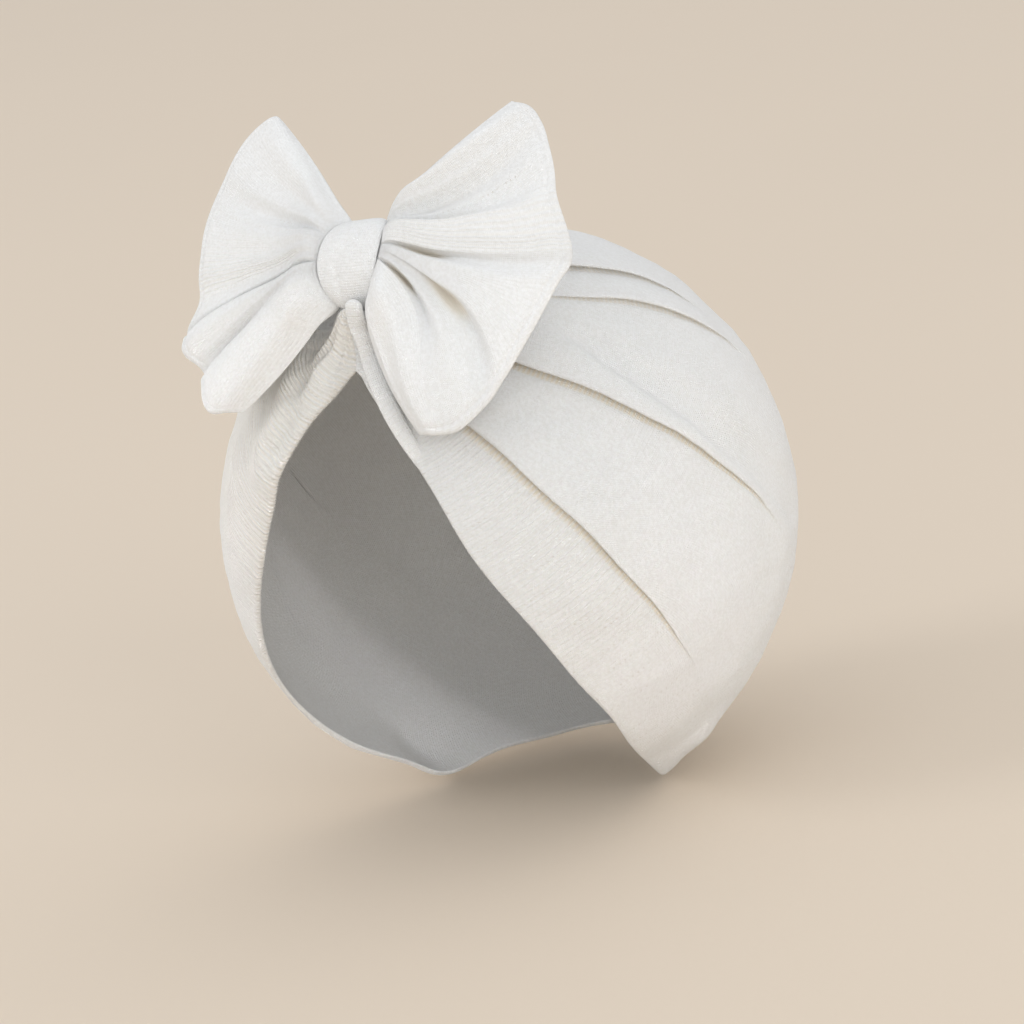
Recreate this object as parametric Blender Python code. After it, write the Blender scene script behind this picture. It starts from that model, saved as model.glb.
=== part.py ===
"""A baby's turban hat in off-white knit: a pleated crown, gathered to a peak under a soft bow.

The frame's origin is the top of the crown's inside, where the head touches it. The face looks
along -Y, +X is the wearer's left and +Z is up. Lengths are in metres and angles in degrees.
Two sets of local axes place everything:
- the crown is worked out about the head's centre. "turn" goes round the gather's direction
  (0 straight back over the head, 180 down the face) and "away" is the angle from that direction.
- the bow and its wrap lie about the bow's waist, whose plane leans back by BOW_LEAN. There, X runs
  along the wings, Y up the bow's face and Z out of it.
"""
import math

import bmesh
import bpy
from mathutils import Vector

# Crown
INSIDE_RADIUS = 0.0746      # a head of 47 cm round, with almost no ease
WALL = 0.0015               # the crown's knit
GATHER_ELEVATION = 52.0     # the gather's direction, above straight ahead
PEAK_HEIGHT = 0.0085        # how far the gathered cloth rises to the bow
PEAK_WIDTH = 4.8            # degrees
SHOULDER_HEIGHT = 0.0022    # the cloth about the peak stands off the head
SHOULDER_WIDTH = 15.0
PUCKERS = 18                # small gathers that run into the peak, all round
PUCKER_DEPTH = 0.0007
PUCKER_START = 6.0
PUCKER_REACH = 17.0
HEM_LIFT = 0.0042           # the hem's lower corners curl away from the head
HEM_LIFT_WIDTH = 8.0
HEM_CORNER_AWAY = 134.0
HEM_CORNER_TURN = 142.0
FOLD_STEP = 1.7             # degrees that a pleat's edge takes to rise from the panel under it
FOLD_START = 0.4            # part of "near" at which a pleat starts to rise

# Face opening: its half width, as a turn from straight down the face
OPENING = (
    # away, half turn
    (8.5, 0.0),
    (10.0, 9.0),
    (17.0, 22.0),
    (25.0, 28.0),
    (35.0, 31.5),
    (51.0, 33.0),
    (70.0, 36.5),
    (90.0, 39.0),
    (110.0, 37.0),
    (133.0, 36.0),
    (150.0, 36.5),
    (160.0, 28.0),
    (164.5, 16.0),
    (166.5, 0.0),
)

# Pleats on the wearer's left, mirrored on the right. The cloth behind each one laps over the
# cloth in front, most at "near" and not at all at "far".
PLEATS = (
    # turn at near, turn at far, near, far, height, reach behind the fold
    (126.0, 122.5, 24.0, 104.0, 0.0026, 0.022),
    (97.0, 88.5, 24.0, 106.0, 0.0028, 0.026),
    (63.5, 57.5, 32.0, 88.0, 0.0022, 0.010),
    (48.5, 51.0, 34.0, 76.0, 0.0020, 0.018),
)

# Bow
BOW_LEAN = 37.0             # its face looks up from straight ahead
KNOT_FRONT = (0.0, -0.0520, 0.0810)     # from the head's centre
KNOT_HALF_HEIGHT = 0.0120
KNOT_HALF_DEPTH = 0.0080
KNOT_WALL = 0.0016
KNOT_SIDE_HALF_WIDTH = 0.0050
KNOT_FRONT_HALF_WIDTH = 0.0096
KNOT_FRONT_POWER = 1.2      # how fast the wrap widens towards its front
GAP = 0.0003                # between pieces that touch
FACET_GAP = 0.0001          # more of it, where both pieces are faceted
SEAT_GAP = 0.0006           # between the wrap and the facets of the peak that carries it
WING_CLEARANCE = 0.0040     # from the crown's plain surface to the wings' backs, over the pleats
WING_THICKNESS = 0.0038     # layers of knit, pressed flat
WING_RISE = 0.0040          # the wings' middle surface, in front of the waist's centre
WING_SWEEP = 0.16           # metres back for each metre out
WING_DROOP = 2.2            # metres back for each square metre down

# Outer edge of each wing, from its upper corner to its lower one
LEFT_EDGE = (
    # across, out, up
    (1.00, 0.0350, 0.0445),
    (0.86, 0.0423, 0.0412),
    (0.60, 0.0490, 0.0280),
    (0.42, 0.0520, 0.0182),
    (0.20, 0.0573, 0.0070),
    (0.08, 0.0592, 0.0010),
    (-0.05, 0.0570, -0.0050),
    (-0.28, 0.0518, -0.0180),
    (-0.55, 0.0440, -0.0330),
    (-0.77, 0.0362, -0.0422),
    (-0.90, 0.0297, -0.0442),
    (-1.00, 0.0236, -0.0435),
)
RIGHT_EDGE = (
    # across, out, up
    (1.00, 0.0368, 0.0462),
    (0.92, 0.0396, 0.0472),
    (0.74, 0.0486, 0.0420),
    (0.53, 0.0526, 0.0311),
    (0.29, 0.0560, 0.0190),
    (0.02, 0.0548, 0.0045),
    (-0.12, 0.0530, -0.0027),
    (-0.32, 0.0563, -0.0135),
    (-0.44, 0.0532, -0.0188),
    (-0.55, 0.0486, -0.0212),
    (-0.67, 0.0468, -0.0272),
    (-0.83, 0.0415, -0.0330),
    (-1.00, 0.0320, -0.0343),
)

# Crests (+) and hollows (-) that fan out of the waist, from the top edge to the bottom one
LEFT_FOLDS = (
    # across at the waist, halfway, at the edge; height at the waist, halfway, at the edge
    (1.00, 1.00, 1.00, 0.0000, 0.0000, 0.0000),
    (0.88, 0.80, 0.86, 0.0018, 0.0040, 0.0014),
    (0.68, 0.50, 0.66, -0.0018, -0.0040, 0.0000),
    (0.56, 0.32, 0.38, 0.0024, 0.0032, 0.0014),
    (0.42, 0.12, 0.08, -0.0036, -0.0054, -0.0018),
    (0.16, -0.08, -0.08, 0.0032, 0.0048, 0.0018),
    (-0.10, -0.34, -0.62, -0.0032, -0.0052, 0.0004),
    (-0.24, -0.48, -0.72, 0.0010, 0.0010, 0.0012),
    (-0.38, -0.62, -0.84, -0.0030, -0.0036, 0.0004),
    (-0.68, -0.82, -0.93, 0.0022, 0.0036, 0.0012),
    (-1.00, -1.00, -1.00, 0.0000, -0.0008, -0.0010),
)
RIGHT_FOLDS = (
    # across at the waist, halfway, at the edge; height at the waist, halfway, at the edge
    (1.00, 1.00, 1.00, 0.0000, 0.0000, 0.0000),
    (0.84, 0.84, 0.88, 0.0014, 0.0026, 0.0012),
    (0.64, 0.60, 0.62, -0.0014, -0.0018, 0.0002),
    (0.48, 0.42, 0.46, 0.0018, 0.0018, 0.0012),
    (0.34, 0.26, 0.28, 0.0000, 0.0006, 0.0004),
    (0.22, 0.10, 0.08, 0.0026, 0.0034, 0.0014),
    (0.04, -0.12, -0.20, -0.0034, -0.0048, -0.0018),
    (-0.12, -0.28, -0.36, 0.0016, 0.0024, 0.0018),
    (-0.26, -0.42, -0.56, -0.0030, -0.0040, -0.0016),
    (-0.64, -0.74, -0.80, 0.0026, 0.0040, 0.0016),
    (-1.00, -1.00, -1.00, 0.0000, -0.0008, -0.0010),
)
LEFT_BULGE = (0.0038, 0.0048)    # how far the upper and the lower side edges bow out
RIGHT_BULGE = (0.0020, 0.0022)
WAIST_BLEND = 0.24               # part of a wing over which the round waist flattens
SIDE_EDGE_POWER = 6              # the higher, the later a wing thins towards its side edges
OUTER_EDGE_POWER = 10            # and towards its outer edge

# Cross-section of the strip round the waist, once round it
WRAP_PROFILE = (
    # part of the half width, part of the wall
    (-1.00, 0.50),
    (-0.90, 0.86),
    (-0.50, 0.97),
    (0.00, 1.00),
    (0.50, 0.97),
    (0.90, 0.86),
    (1.00, 0.50),
    (0.96, 0.00),
    (0.00, 0.00),
    (-0.96, 0.00),
)

# Mesh steps
CROWN_ROWS = 24
GATHER_ROWS = 3
NAPE_ROWS = 2
COLUMNS_PER_PANEL = 3
WING_STEPS = 18
LANE_STEPS = 3              # columns from one fold line of a wing to the next
SIDE_LANES = (0.0, 0.06, 0.25, 0.60)    # columns beside a side edge, where the wing rounds off
WRAP_SECTIONS = 36
POLE = 1.8                  # degrees from a pole to the first row of the crown

KNIT_COLOUR = (0.79, 0.78, 0.755, 1.0)


def remove_everything():
    for item in list(bpy.data.objects):
        bpy.data.objects.remove(item, do_unlink=True)


def smooth(t):
    t = min(max(t, 0.0), 1.0)
    return t * t * (3.0 - 2.0 * t)


def bell(x, width):
    return math.exp(-(x / width) ** 2)


def slope(rows, i, column):
    low = max(i - 1, 0)
    high = min(i + 1, len(rows) - 1)
    return (rows[high][column] - rows[low][column]) / (rows[high][0] - rows[low][0])


def read_curve(rows, x, column=1):
    """A smooth curve through a table's rows, whose first column rises or falls throughout."""
    sign = 1.0 if rows[-1][0] > rows[0][0] else -1.0
    i = 0
    while i < len(rows) - 2 and sign * rows[i + 1][0] < sign * x:
        i += 1
    start, end = rows[i][0], rows[i + 1][0]
    span = end - start
    t = min(max((x - start) / span, 0.0), 1.0)
    a = rows[i][column]
    b = rows[i + 1][column]
    da = slope(rows, i, column) * span
    db = slope(rows, i + 1, column) * span
    return (a * (1 + 2 * t) * (1 - t) ** 2 + da * t * (1 - t) ** 2
            + b * t * t * (3 - 2 * t) + db * t * t * (t - 1))


def quadratic(first, middle, last, t):
    return (first * (1 - t) * (1 - 2 * t) + middle * 4 * t * (1 - t) + last * t * (2 * t - 1))


def direction(turn, away):
    """Unit direction from the head's centre."""
    lift = math.radians(GATHER_ELEVATION)
    gather = Vector((0.0, -math.cos(lift), math.sin(lift)))
    back = Vector((0.0, math.sin(lift), math.cos(lift)))
    side = Vector((1.0, 0.0, 0.0))
    turn = math.radians(turn)
    away = math.radians(away)
    round_it = back * math.cos(turn) + side * math.sin(turn)
    return gather * math.cos(away) + round_it * math.sin(away)


def bow_axes():
    lean = math.radians(BOW_LEAN)
    out = Vector((0.0, -math.cos(lean), math.sin(lean)))
    up = Vector((0.0, math.sin(lean), math.cos(lean)))
    return Vector((1.0, 0.0, 0.0)), up, out


def waist_centre():
    return Vector(KNOT_FRONT) - bow_axes()[2] * KNOT_HALF_DEPTH


def reach_to_knot(way):
    """How far a ray from the head's centre goes before it meets the wrap's outside, or None.

    The wrap counts as an oval bar along X, which fades out beyond the wrap's own width.
    """
    side, up, out = bow_axes()
    centre = waist_centre()
    half_height, half_depth = KNOT_HALF_HEIGHT + SEAT_GAP, KNOT_HALF_DEPTH + SEAT_GAP
    ray = Vector((way.dot(up) / half_height, way.dot(out) / half_depth))
    start = Vector((-centre.dot(up) / half_height, -centre.dot(out) / half_depth))
    a = ray.dot(ray)
    b = ray.dot(start)
    inside = b * b - a * (start.dot(start) - 1.0)
    if inside <= 0.0 or b >= 0.0:
        return None
    reach = (-b - math.sqrt(inside)) / a
    beyond = abs(way.dot(side)) * reach - KNOT_SIDE_HALF_WIDTH - 2 * SEAT_GAP
    return reach + PEAK_HEIGHT * smooth(beyond / KNOT_SIDE_HALF_WIDTH)


def pleat_turn(pleat, away):
    near_turn, far_turn, near, far = pleat[:4]
    t = min(max((away - near) / (far - near), 0.0), 1.0)
    return near_turn + (far_turn - near_turn) * t


def pleat_height(pleat, turn, away):
    """How far one pleat lifts the cloth above the crown's plain surface."""
    near, far, height, reach = pleat[2:]
    behind = pleat_turn(pleat, away) - abs(turn)
    if behind < -FOLD_STEP:
        return 0.0
    start = near * FOLD_START
    along = smooth((away - start) / (near - start)) * (1.0 - smooth((away - near) / (far - near)) ** 2)
    if behind < 0.0:
        return height * along * smooth(1.0 + behind / FOLD_STEP)
    distance = math.radians(behind) * math.sin(math.radians(away)) * INSIDE_RADIUS
    return height * along * (1.0 - smooth(distance / reach))


def cloth_lift(turn, away):
    """The crown's rise off the head: the gathered peak, its shoulder and the hem's corners."""
    lift = PEAK_HEIGHT * bell(away, PEAK_WIDTH) + SHOULDER_HEIGHT * bell(away, SHOULDER_WIDTH)
    round_it = math.sin(math.radians(away)) * (abs(turn) - HEM_CORNER_TURN)
    corner = math.hypot(away - HEM_CORNER_AWAY, round_it)
    return lift + HEM_LIFT * bell(corner, HEM_LIFT_WIDTH)


def puckers(turn, away):
    wave = math.cos(math.radians(turn) * PUCKERS)
    return PUCKER_DEPTH * wave * bell(away, PUCKER_REACH) * smooth(away / PUCKER_START)


def crown_outside(turn, away):
    way = direction(turn, away)
    distance = INSIDE_RADIUS + WALL + cloth_lift(turn, away) + puckers(turn, away)
    distance += max(pleat_height(pleat, turn, away) for pleat in PLEATS)
    seat = reach_to_knot(way)
    if seat is not None:
        distance = min(distance, seat)
    return way * distance


def crown_inside(turn, away):
    """The lining side: plain, and lifted under the peak so that the wall stays thin there."""
    way = direction(turn, away)
    distance = INSIDE_RADIUS + cloth_lift(turn, away)
    seat = reach_to_knot(way)
    if seat is not None:
        distance = min(distance, seat - WALL)
    return way * distance


def opening_half_turn(away):
    if away <= OPENING[0][0] or away >= OPENING[-1][0]:
        return 0.0
    return read_curve(OPENING, away)


def crown_rows():
    """Angles from the gather: close together where the face opening starts and ends."""
    top, bottom = OPENING[0][0], OPENING[-1][0]
    rows = [POLE + (top - POLE) * i / GATHER_ROWS for i in range(GATHER_ROWS)]
    for i in range(CROWN_ROWS + 1):
        rows.append(top + (bottom - top) * 0.5 * (1.0 - math.cos(math.pi * i / CROWN_ROWS)))
    last = 180.0 - POLE
    rows += [bottom + (last - bottom) * (i + 1) / NAPE_ROWS for i in range(NAPE_ROWS)]
    return rows


def half_columns(away):
    """Turns from the back to the rim: a fold has its foot and its edge, a panel even steps."""
    marks = [0.0]
    for pleat in reversed(PLEATS):
        edge = pleat_turn(pleat, away)
        marks += [edge, edge + FOLD_STEP]
    marks.append(180.0 - opening_half_turn(away))
    columns = [0.0]
    for i in range(0, len(marks), 2):
        start, end = marks[i], marks[i + 1]
        columns += [start + (end - start) * (k + 1) / COLUMNS_PER_PANEL for k in range(COLUMNS_PER_PANEL)]
        if i + 2 < len(marks):
            columns += [end + FOLD_STEP * 0.5, end + FOLD_STEP]
    return columns


def columns_at(away):
    half = half_columns(away)
    return [-turn for turn in reversed(half[1:])] + half


def add_face(mesh, *corners):
    """A face through corners that may repeat; one with fewer than three of its own is left out."""
    kept = []
    for corner in corners:
        if corner not in kept:
            kept.append(corner)
    if len(kept) > 2 and mesh.faces.get(kept) is None:
        mesh.faces.new(kept)


def crown_skin(mesh, surface, rows):
    """One side of the crown, as rows of corners. Where a row is closed its ends are one corner."""
    skin = []
    for away in rows:
        turns = columns_at(away)
        corners = [mesh.verts.new(surface(turn, away)) for turn in turns[:-1]]
        closed = opening_half_turn(away) == 0.0
        corners.append(corners[0] if closed else mesh.verts.new(surface(turns[-1], away)))
        skin.append(corners)
    return skin


def fill_skin(mesh, skin, poles):
    for upper, lower in zip(skin, skin[1:]):
        for i in range(len(upper) - 1):
            add_face(mesh, upper[i], upper[i + 1], lower[i + 1], lower[i])
    for pole, ring in zip(poles, (skin[0], skin[-1])):
        for i in range(len(ring) - 1):
            add_face(mesh, pole, ring[i], ring[i + 1])


def rim_of(skin, rows):
    """The corners round the face opening, once round it from the top."""
    opened = [i for i, away in enumerate(rows) if opening_half_turn(away) > 0.0]
    left = [skin[i][-1] for i in range(opened[0] - 1, opened[-1] + 2)]
    right = [skin[i][0] for i in reversed(opened)]
    return left + right


def join_rims(mesh, outer, inner):
    """The cut edge of the cloth, from the outer rim to the inner one."""
    for i in range(len(outer)):
        add_face(mesh, outer[i - 1], outer[i], inner[i], inner[i - 1])


def build_crown():
    mesh = bmesh.new()
    rows = crown_rows()
    rims = []
    for surface in (crown_outside, crown_inside):
        skin = crown_skin(mesh, surface, rows)
        poles = [mesh.verts.new(surface(0.0, away)) for away in (0.0, 180.0)]
        fill_skin(mesh, skin, poles)
        rims.append(rim_of(skin, rows))
    join_rims(mesh, *rims)
    return finish("crown", mesh, Vector((0.0, 0.0, -INSIDE_RADIUS)))


def knot_half_width(angle):
    """Half the wrap's width: most at the front (angle 0), least where it turns under the wings."""
    fuller = KNOT_FRONT_HALF_WIDTH - KNOT_SIDE_HALF_WIDTH
    return KNOT_SIDE_HALF_WIDTH + fuller * max(math.cos(angle), 0.0) ** KNOT_FRONT_POWER


def build_wrap(seat):
    """The strip that goes once round the bow's waist, a little fuller along its middle."""
    mesh = bmesh.new()
    sections = []
    for i in range(WRAP_SECTIONS):
        angle = 2.0 * math.pi * i / WRAP_SECTIONS
        width = knot_half_width(angle)
        section = []
        for across, part in WRAP_PROFILE:
            inset = KNOT_WALL * (1.0 - part)
            up = (KNOT_HALF_HEIGHT - inset) * math.sin(angle)
            out = (KNOT_HALF_DEPTH - inset) * math.cos(angle)
            section.append(mesh.verts.new((across * width, up, out)))
        sections.append(section)
    for i in range(WRAP_SECTIONS):
        here, there = sections[i], sections[(i + 1) % WRAP_SECTIONS]
        for k in range(len(WRAP_PROFILE)):
            after = (k + 1) % len(WRAP_PROFILE)
            add_face(mesh, here[k], here[after], there[after], there[k])
    return finish("knot_wrap", mesh, parent=seat)


def wing_outline(across, along, edge, bulge):
    """A point of a wing's plane: from the waist (along 0) to the outer edge (along 1)."""
    angle = math.asin(min(max(across, -1.0), 1.0))
    waist = Vector((knot_half_width(angle) + 2 * GAP, waist_half(0) * across))
    outer = Vector((read_curve(edge, across, 1), read_curve(edge, across, 2)))
    run = outer - waist
    away = Vector((-run.y, run.x)).normalized() if across > 0 else Vector((run.y, -run.x)).normalized()
    swell = bulge[0] if across > 0 else bulge[1]
    halfway = 4.0 * along * (1.0 - along)
    return waist + run * along + away * (swell * abs(across) ** 3 * halfway)


def across_folds(folds, lane, along):
    """Place and height at a lane: 0 on the first fold line, 1 on the next, a smooth wave between."""
    i = min(int(lane), len(folds) - 2)
    here, after = folds[i], folds[i + 1]
    t = lane - i
    across = quadratic(*here[:3], along) * (1.0 - t) + quadratic(*after[:3], along) * t
    height = quadratic(*here[3:], along)
    return across, height + (quadratic(*after[3:], along) - height) * smooth(t)


def waist_half(axis):
    """The waist's half height (axis 0) or half depth (axis 1), inside the wrap."""
    return (KNOT_HALF_HEIGHT, KNOT_HALF_DEPTH)[axis] - KNOT_WALL - GAP - FACET_GAP


def crown_floor(point):
    """The lowest height over a point of the bow's plane that is clear of the crown."""
    _, up, out = bow_axes()
    centre = waist_centre()
    radius = INSIDE_RADIUS + WALL + WING_CLEARANCE
    outwards = centre.dot(out)
    level = centre.dot(centre) + point.dot(point) + 2.0 * point.y * centre.dot(up) - radius ** 2
    return math.sqrt(max(outwards ** 2 - level, 0.0)) - outwards


def wing_layers(across, along, point, fold):
    """Heights of a wing's front and back over one point of its plane."""
    middle = WING_RISE - WING_SWEEP * point.x - WING_DROOP * min(point.y, 0.0) ** 2 + fold
    fullness = max(1.0 - abs(across) ** SIDE_EDGE_POWER, 0.0) * max(1.0 - along ** OUTER_EDGE_POWER, 0.0)
    half = 0.5 * WING_THICKNESS * math.sqrt(fullness)
    round_half = waist_half(1) * math.sqrt(max(1.0 - across * across, 0.0))
    flat = smooth(along / WAIST_BLEND)
    middle = max(middle, crown_floor(point) + half)
    front = round_half + (middle + half - round_half) * flat
    back = -round_half + (middle - half + round_half) * flat
    return front, back


def lanes(folds):
    """Even steps from fold line to fold line, closer together beside the two side edges."""
    last = len(folds) - 1
    inner = [i / LANE_STEPS for i in range(LANE_STEPS, (last - 1) * LANE_STEPS + 1)]
    return list(SIDE_LANES) + inner + [last - lane for lane in reversed(SIDE_LANES)]


def wing_rings(mesh, side, edge, folds, bulge):
    """Closed rings of corners round a wing, from the waist to the last one before its edge."""
    rings = []
    for i in range(WING_STEPS + 1):
        along = math.sin(0.5 * math.pi * i / WING_STEPS) * 0.5 + 0.5 * i / WING_STEPS
        front, back = [], []
        for lane in lanes(folds):
            across, fold = across_folds(folds, lane, along)
            point = wing_outline(across, along, edge, bulge)
            high, low = wing_layers(across, along, point, fold)
            top = mesh.verts.new((side * point.x, point.y, high))
            same = high - low < 1e-6
            bottom = top if same else mesh.verts.new((side * point.x, point.y, low))
            front.append(top)
            back.append(bottom)
        rings.append((front, back))
    return rings


def skin_rings(mesh, rings):
    for (front_a, back_a), (front_b, back_b) in zip(rings, rings[1:]):
        for i in range(len(front_a) - 1):
            add_face(mesh, front_a[i], front_b[i], front_b[i + 1], front_a[i + 1])
            add_face(mesh, back_a[i], back_a[i + 1], back_b[i + 1], back_b[i])


def build_bow(seat):
    """Both wings and the waist between them, in one closed piece."""
    mesh = bmesh.new()
    left = wing_rings(mesh, 1.0, LEFT_EDGE, LEFT_FOLDS, LEFT_BULGE)
    right = wing_rings(mesh, -1.0, RIGHT_EDGE, RIGHT_FOLDS, RIGHT_BULGE)
    skin_rings(mesh, left)
    skin_rings(mesh, right)
    skin_rings(mesh, [left[0], right[0]])
    return finish("bow", mesh, parent=seat)


def knit(name):
    material = bpy.data.materials.new(name)
    material.use_nodes = True
    shader = material.node_tree.nodes["Principled BSDF"]
    shader.inputs["Base Color"].default_value = KNIT_COLOUR
    shader.inputs["Roughness"].default_value = 0.9
    shader.inputs["Metallic"].default_value = 0.0
    material.diffuse_color = KNIT_COLOUR
    return material


def finish(name, mesh, location=(0.0, 0.0, 0.0), parent=None):
    bmesh.ops.recalc_face_normals(mesh, faces=mesh.faces[:])
    bmesh.ops.triangulate(mesh, faces=mesh.faces[:])
    if mesh.calc_volume(signed=True) < 0.0:
        bmesh.ops.reverse_faces(mesh, faces=mesh.faces[:])
    data = bpy.data.meshes.new(name)
    mesh.to_mesh(data)
    mesh.free()
    data.shade_smooth()
    item = bpy.data.objects.new(name, data)
    item.location = location
    item.parent = parent
    data.materials.append(knit(name + "_knit"))
    bpy.context.scene.collection.objects.link(item)
    return item


def add_bow_seat():
    seat = bpy.data.objects.new("bow_seat", None)
    seat.location = waist_centre() + Vector((0.0, 0.0, -INSIDE_RADIUS))
    seat.rotation_euler = (math.radians(90.0 - BOW_LEAN), 0.0, 0.0)
    bpy.context.scene.collection.objects.link(seat)
    return seat


def main():
    remove_everything()
    build_crown()
    seat = add_bow_seat()
    build_wrap(seat)
    build_bow(seat)


main()
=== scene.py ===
"""Looks for the baby's turban hat: off-white knit with lapped pleats, a soft folded bow and its wrap.

Each soft piece is worked out on the same axes as the CAD solid that it replaces, and mostly from the
same named values. The crown is set out about the head's centre: "turn" goes round the gather's
direction (0 straight back over the head, 180 down the face, more than 0 on the wearer's left) and
"away" is the angle from it, in degrees. The bow, its wrap and the band's end lie about the waist's
centre: X along the wings, Y up, Z out. Everything else is in metres.
"""
import math

import bmesh
import bpy
import numpy as np
from mathutils import Matrix, Vector


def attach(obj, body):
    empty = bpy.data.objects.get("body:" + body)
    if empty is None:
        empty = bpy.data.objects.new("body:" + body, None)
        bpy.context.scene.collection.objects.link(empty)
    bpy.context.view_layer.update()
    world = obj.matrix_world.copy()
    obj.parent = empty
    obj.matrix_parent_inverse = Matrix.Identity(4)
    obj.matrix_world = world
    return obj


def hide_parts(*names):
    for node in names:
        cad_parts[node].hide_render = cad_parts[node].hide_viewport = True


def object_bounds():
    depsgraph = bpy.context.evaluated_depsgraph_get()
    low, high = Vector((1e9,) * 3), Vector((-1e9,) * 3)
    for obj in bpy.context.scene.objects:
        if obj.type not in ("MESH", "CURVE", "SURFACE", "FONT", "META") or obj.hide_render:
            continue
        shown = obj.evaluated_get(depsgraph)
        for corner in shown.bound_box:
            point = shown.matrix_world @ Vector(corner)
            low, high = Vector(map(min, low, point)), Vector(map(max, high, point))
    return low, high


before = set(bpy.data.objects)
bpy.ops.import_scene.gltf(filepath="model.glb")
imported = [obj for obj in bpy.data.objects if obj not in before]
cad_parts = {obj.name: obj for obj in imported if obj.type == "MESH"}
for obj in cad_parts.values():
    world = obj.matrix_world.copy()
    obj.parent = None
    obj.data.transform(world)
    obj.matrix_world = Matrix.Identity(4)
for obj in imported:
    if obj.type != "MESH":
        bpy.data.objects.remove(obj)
cad_low, cad_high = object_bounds()

# Named as in the CAD. The pleats, the wings' sides and the knot follow the cloth more closely here,
# up to 3 mm from the CAD's, and the pleats on the wearer's right lie further back than its mirrored ones.
INSIDE_RADIUS = 0.0746
HEAD_CENTRE = np.array((0.0, 0.0, -INSIDE_RADIUS))
WALL = 0.0015
GATHER_ELEVATION = 52.0
PEAK_HEIGHT = 0.0085
PEAK_WIDTH = 4.8
SHOULDER_HEIGHT = 0.0022
SHOULDER_WIDTH = 15.0
HEM_LIFT = 0.0042
HEM_LIFT_WIDTH = 8.0
HEM_CORNER_AWAY = 134.0
HEM_CORNER_TURN = 142.0
OPENING = (
    # away, half turn
    (8.5, 0.0),
    (10.0, 9.0),
    (17.0, 22.0),
    (25.0, 28.0),
    (35.0, 31.5),
    (51.0, 33.0),
    (70.0, 36.5),
    (90.0, 39.0),
    (110.0, 37.0),
    (133.0, 36.0),
    (150.0, 36.5),
    (160.0, 28.0),
    (164.5, 16.0),
    (166.5, 0.0),
)
LEFT_PLEATS = (
    # turn at near, turn at far, near, far, height, reach behind the fold, where it's full, bow
    (48.5, 51.0, 34.0, 76.0, 0.0018, 0.018, 34.0, 0.0),
    (63.5, 57.5, 32.0, 88.0, 0.0022, 0.010, 60.0, 0.0),
    (97.0, 88.5, 24.0, 106.0, 0.0026, 0.026, 24.0, 0.0),
    (126.5, 123.5, 24.0, 106.0, 0.0023, 0.022, 24.0, 2.3),
)
RIGHT_PLEATS = (
    # as on the left
    (40.0, 42.0, 34.0, 80.0, 0.0018, 0.016, 34.0, 0.0),
    (52.0, 48.0, 32.0, 92.0, 0.0020, 0.010, 50.0, 0.0),
    (66.0, 60.0, 24.0, 106.0, 0.0024, 0.020, 24.0, 1.0),
    (83.0, 80.0, 24.0, 108.0, 0.0024, 0.020, 24.0, 1.5),
)
FOLD_START = 0.4
BOW_LEAN = 37.0
KNOT_FRONT = (0.0, -0.0520, 0.0810)
KNOT_HALF_HEIGHT = 0.0120
KNOT_HALF_DEPTH = 0.0080
KNOT_WALL = 0.0016
KNOT_SIDE_HALF_WIDTH = 0.0050
KNOT_FRONT_HALF_WIDTH = 0.0090  # 0.6 mm less than the CAD's
KNOT_RAISE = 0.0018  # and the knot is this much further up the bow's plane
GAP = 0.0003
SEAT_GAP = 0.0006
WING_CLEARANCE = 0.0040
WING_THICKNESS = 0.0038
WING_RISE = 0.0040
WING_SWEEP = 0.16
WING_DROOP = 2.2
LEFT_EDGE = (
    # across, out, up
    (1.00, 0.0350, 0.0445),
    (0.86, 0.0423, 0.0412),
    (0.60, 0.0490, 0.0280),
    (0.42, 0.0520, 0.0182),
    (0.20, 0.0573, 0.0070),
    (0.08, 0.0592, 0.0010),
    (-0.05, 0.0570, -0.0050),
    (-0.28, 0.0518, -0.0180),
    (-0.55, 0.0440, -0.0330),
    (-0.77, 0.0362, -0.0422),
    (-0.90, 0.0297, -0.0442),
    (-1.00, 0.0236, -0.0435),
)
RIGHT_EDGE = (
    # as on the left
    (1.00, 0.0360, 0.0462),
    (0.92, 0.0384, 0.0474),
    (0.74, 0.0473, 0.0420),
    (0.53, 0.0526, 0.0311),
    (0.29, 0.0560, 0.0190),
    (0.02, 0.0548, 0.0045),
    (-0.12, 0.0530, -0.0027),
    (-0.32, 0.0563, -0.0135),
    (-0.44, 0.0532, -0.0188),
    (-0.55, 0.0486, -0.0212),
    (-0.67, 0.0468, -0.0272),
    (-0.83, 0.0420, -0.0345),
    (-1.00, 0.0320, -0.0343),
)
LEFT_BULGE = (0.0012, 0.0024)
RIGHT_BULGE = (0.0010, 0.0022)
WAIST_BLEND = 0.24

# Only in the cloth
WAIST_TUCK = 0.0012  # the wings start inside the wrap's edges
EDGE_BLUR = (-0.06, -0.03, 0.0, 0.03, 0.06)  # evens out an outer edge's corners
WAIST_START = 0.028  # part of a wing that is under the wrap
PUFF = 0.0032  # the wings spring up where they leave the wrap
PUFF_SPREAD = (0.10, 0.16)  # part of the length that the rise takes, and the fall
PUFF_IN_HOLLOW = 0.35  # part of the puff that the hollows have
CREST = (-0.002, 0.004)  # height of a fold where hollow turns to crest, and over how much

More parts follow.
